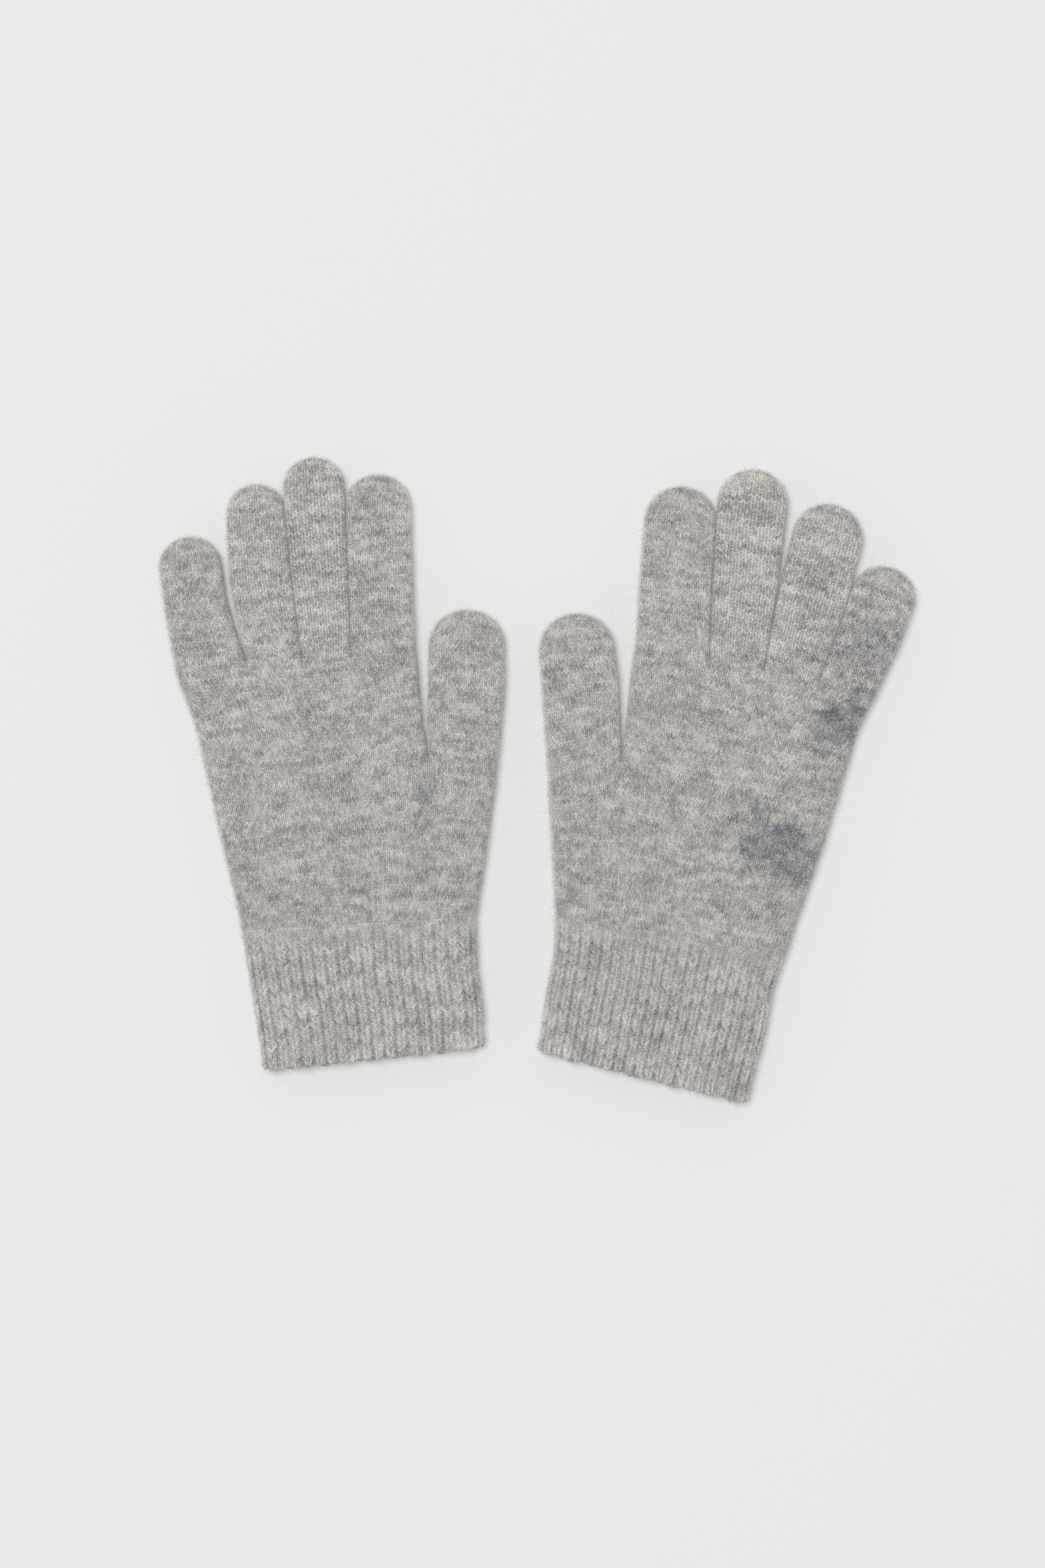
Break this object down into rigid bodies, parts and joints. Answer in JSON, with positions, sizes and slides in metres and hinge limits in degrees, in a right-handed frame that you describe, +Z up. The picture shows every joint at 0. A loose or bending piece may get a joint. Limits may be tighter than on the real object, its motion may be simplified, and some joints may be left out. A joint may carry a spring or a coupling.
{
  "type": "pair of knitted gloves",
  "caption": "Pair of plain five-finger knitted gloves in brushed heathered grey wool with ribbed cuffs, lying flat with the thumbs inwards.",
  "frame": {"origin": "on the table under the middle of the pair's bounding box", "axes": "+X to the right across the pair, +Y towards the fingertips, +Z up from the table"},
  "size_m": [0.2842, 0.2432, 0.0098],
  "materials": {
    "knit": "brushed heathered wool in plain stitch, matt and slightly fuzzy",
    "rib": "brushed heathered wool in rib stitch, matt and slightly fuzzy",
    "hem": "overlocked edge of the same wool, matt"
  },
  "bodies": {
    "left_palm": {"left_palm": "knit"},
    "left_cuff": {"left_cuff": "rib", "left_cuff_hem": "hem"},
    "left_thumb": {"left_thumb_base": "knit"},
    "left_thumb_end": {"left_thumb_tip": "knit"},
    "left_index": {"left_index_base": "knit"},
    "left_index_end": {"left_index_tip": "knit"},
    "left_middle": {"left_middle_base": "knit"},
    "left_middle_end": {"left_middle_tip": "knit"},
    "left_ring": {"left_ring_base": "knit"},
    "left_ring_end": {"left_ring_tip": "knit"},
    "left_little": {"left_little_base": "knit"},
    "left_little_end": {"left_little_tip": "knit"},
    "right_palm": {"right_palm": "knit"},
    "right_cuff": {"right_cuff": "rib", "right_cuff_hem": "hem"},
    "right_thumb": {"right_thumb_base": "knit"},
    "right_thumb_end": {"right_thumb_tip": "knit"},
    "right_index": {"right_index_base": "knit"},
    "right_index_end": {"right_index_tip": "knit"},
    "right_middle": {"right_middle_base": "knit"},
    "right_middle_end": {"right_middle_tip": "knit"},
    "right_ring": {"right_ring_base": "knit"},
    "right_ring_end": {"right_ring_tip": "knit"},
    "right_little": {"right_little_base": "knit"},
    "right_little_end": {"right_little_tip": "knit"}
  },
  "joints": [
    {"name": "gloves_apart", "type": "slide", "parent": "left_palm", "child": "right_palm", "axis": [1, 0, 0], "range_m": [0, 0.05]},
    {"name": "left_wrist_fold", "type": "hinge", "parent": "left_palm", "child": "left_cuff", "pos_m": [-0.06717, -0.05338, 0.009], "axis": [-0.9981, -0.0624, 0], "range_deg": [0, 80]},
    {"name": "left_thumb_root_fold", "type": "hinge", "parent": "left_palm", "child": "left_thumb", "pos_m": [-0.02835, 0.00607, 0.009], "axis": [0.9976, 0.0698, 0], "range_deg": [0, 60]},
    {"name": "left_thumb_middle_fold", "type": "hinge", "parent": "left_thumb", "child": "left_thumb_end", "pos_m": [-0.02658, 0.03662, 0.009], "axis": [0.9962, -0.0872, 0], "range_deg": [0, 80]},
    {"name": "left_index_knuckle_fold", "type": "hinge", "parent": "left_palm", "child": "left_index", "pos_m": [-0.05774, 0.04769, 0.009], "axis": [0.9954, 0.0958, 0], "range_deg": [0, 90]},
    {"name": "left_index_middle_fold", "type": "hinge", "parent": "left_index", "child": "left_index_end", "pos_m": [-0.05908, 0.07912, 0.009], "axis": [0.9954, 0.0958, 0], "range_deg": [0, 100]},
    {"name": "left_middle_knuckle_fold", "type": "hinge", "parent": "left_palm", "child": "left_middle", "pos_m": [-0.07919, 0.04562, 0.009], "axis": [0.9954, 0.0958, 0], "range_deg": [0, 90]},
    {"name": "left_middle_middle_fold", "type": "hinge", "parent": "left_middle", "child": "left_middle_end", "pos_m": [-0.08198, 0.08012, 0.009], "axis": [0.9954, 0.0958, 0], "range_deg": [0, 100]},
    {"name": "left_ring_knuckle_fold", "type": "hinge", "parent": "left_palm", "child": "left_ring", "pos_m": [-0.09874, 0.04374, 0.009], "axis": [0.9954, 0.0958, 0], "range_deg": [0, 90]},
    {"name": "left_ring_middle_fold", "type": "hinge", "parent": "left_ring", "child": "left_ring_end", "pos_m": [-0.10438, 0.07512, 0.009], "axis": [0.9954, 0.0958, 0], "range_deg": [0, 100]},
    {"name": "left_little_knuckle_fold", "type": "hinge", "parent": "left_palm", "child": "left_little", "pos_m": [-0.12274, 0.04143, 0.009], "axis": [0.9954, 0.0958, 0], "range_deg": [0, 90]},
    {"name": "left_little_middle_fold", "type": "hinge", "parent": "left_little", "child": "left_little_end", "pos_m": [-0.12878, 0.06662, 0.009], "axis": [0.9954, 0.0958, 0], "range_deg": [0, 100]},
    {"name": "right_wrist_fold", "type": "hinge", "parent": "right_palm", "child": "right_cuff", "pos_m": [0.05044, -0.05748, 0.009], "axis": [-0.9856, 0.1694, 0], "range_deg": [0, 80]},
    {"name": "right_thumb_root_fold", "type": "hinge", "parent": "right_palm", "child": "right_thumb", "pos_m": [0.01814, 0.00447, 0.009], "axis": [0.9848, -0.1736, 0], "range_deg": [0, 60]},
    {"name": "right_thumb_middle_fold", "type": "hinge", "parent": "right_thumb", "child": "right_thumb_end", "pos_m": [0.01632, 0.03662, 0.009], "axis": [0.9962, 0.0872, 0], "range_deg": [0, 80]},
    {"name": "right_index_knuckle_fold", "type": "hinge", "parent": "right_palm", "child": "right_index", "pos_m": [0.05085, 0.04849, 0.009], "axis": [0.9816, -0.1908, 0], "range_deg": [0, 90]},
    {"name": "right_index_middle_fold", "type": "hinge", "parent": "right_index", "child": "right_index_end", "pos_m": [0.05232, 0.07862, 0.009], "axis": [0.9816, -0.1908, 0], "range_deg": [0, 100]},
    {"name": "right_middle_knuckle_fold", "type": "hinge", "parent": "right_palm", "child": "right_middle", "pos_m": [0.0751, 0.04378, 0.009], "axis": [0.9816, -0.1908, 0], "range_deg": [0, 90]},
    {"name": "right_middle_middle_fold", "type": "hinge", "parent": "right_middle", "child": "right_middle_end", "pos_m": [0.07882, 0.07962, 0.009], "axis": [0.9816, -0.1908, 0], "range_deg": [0, 100]},
    {"name": "right_ring_knuckle_fold", "type": "hinge", "parent": "right_palm", "child": "right_ring", "pos_m": [0.09585, 0.03975, 0.009], "axis": [0.9816, -0.1908, 0], "range_deg": [0, 90]},
    {"name": "right_ring_middle_fold", "type": "hinge", "parent": "right_ring", "child": "right_ring_end", "pos_m": [0.10412, 0.07012, 0.009], "axis": [0.9816, -0.1908, 0], "range_deg": [0, 100]},
    {"name": "right_little_knuckle_fold", "type": "hinge", "parent": "right_palm", "child": "right_little", "pos_m": [0.1175, 0.03554, 0.009], "axis": [0.9816, -0.1908, 0], "range_deg": [0, 90]},
    {"name": "right_little_middle_fold", "type": "hinge", "parent": "right_little", "child": "right_little_end", "pos_m": [0.12522, 0.05412, 0.009], "axis": [0.9816, -0.1908, 0], "range_deg": [0, 100]}
  ]
}
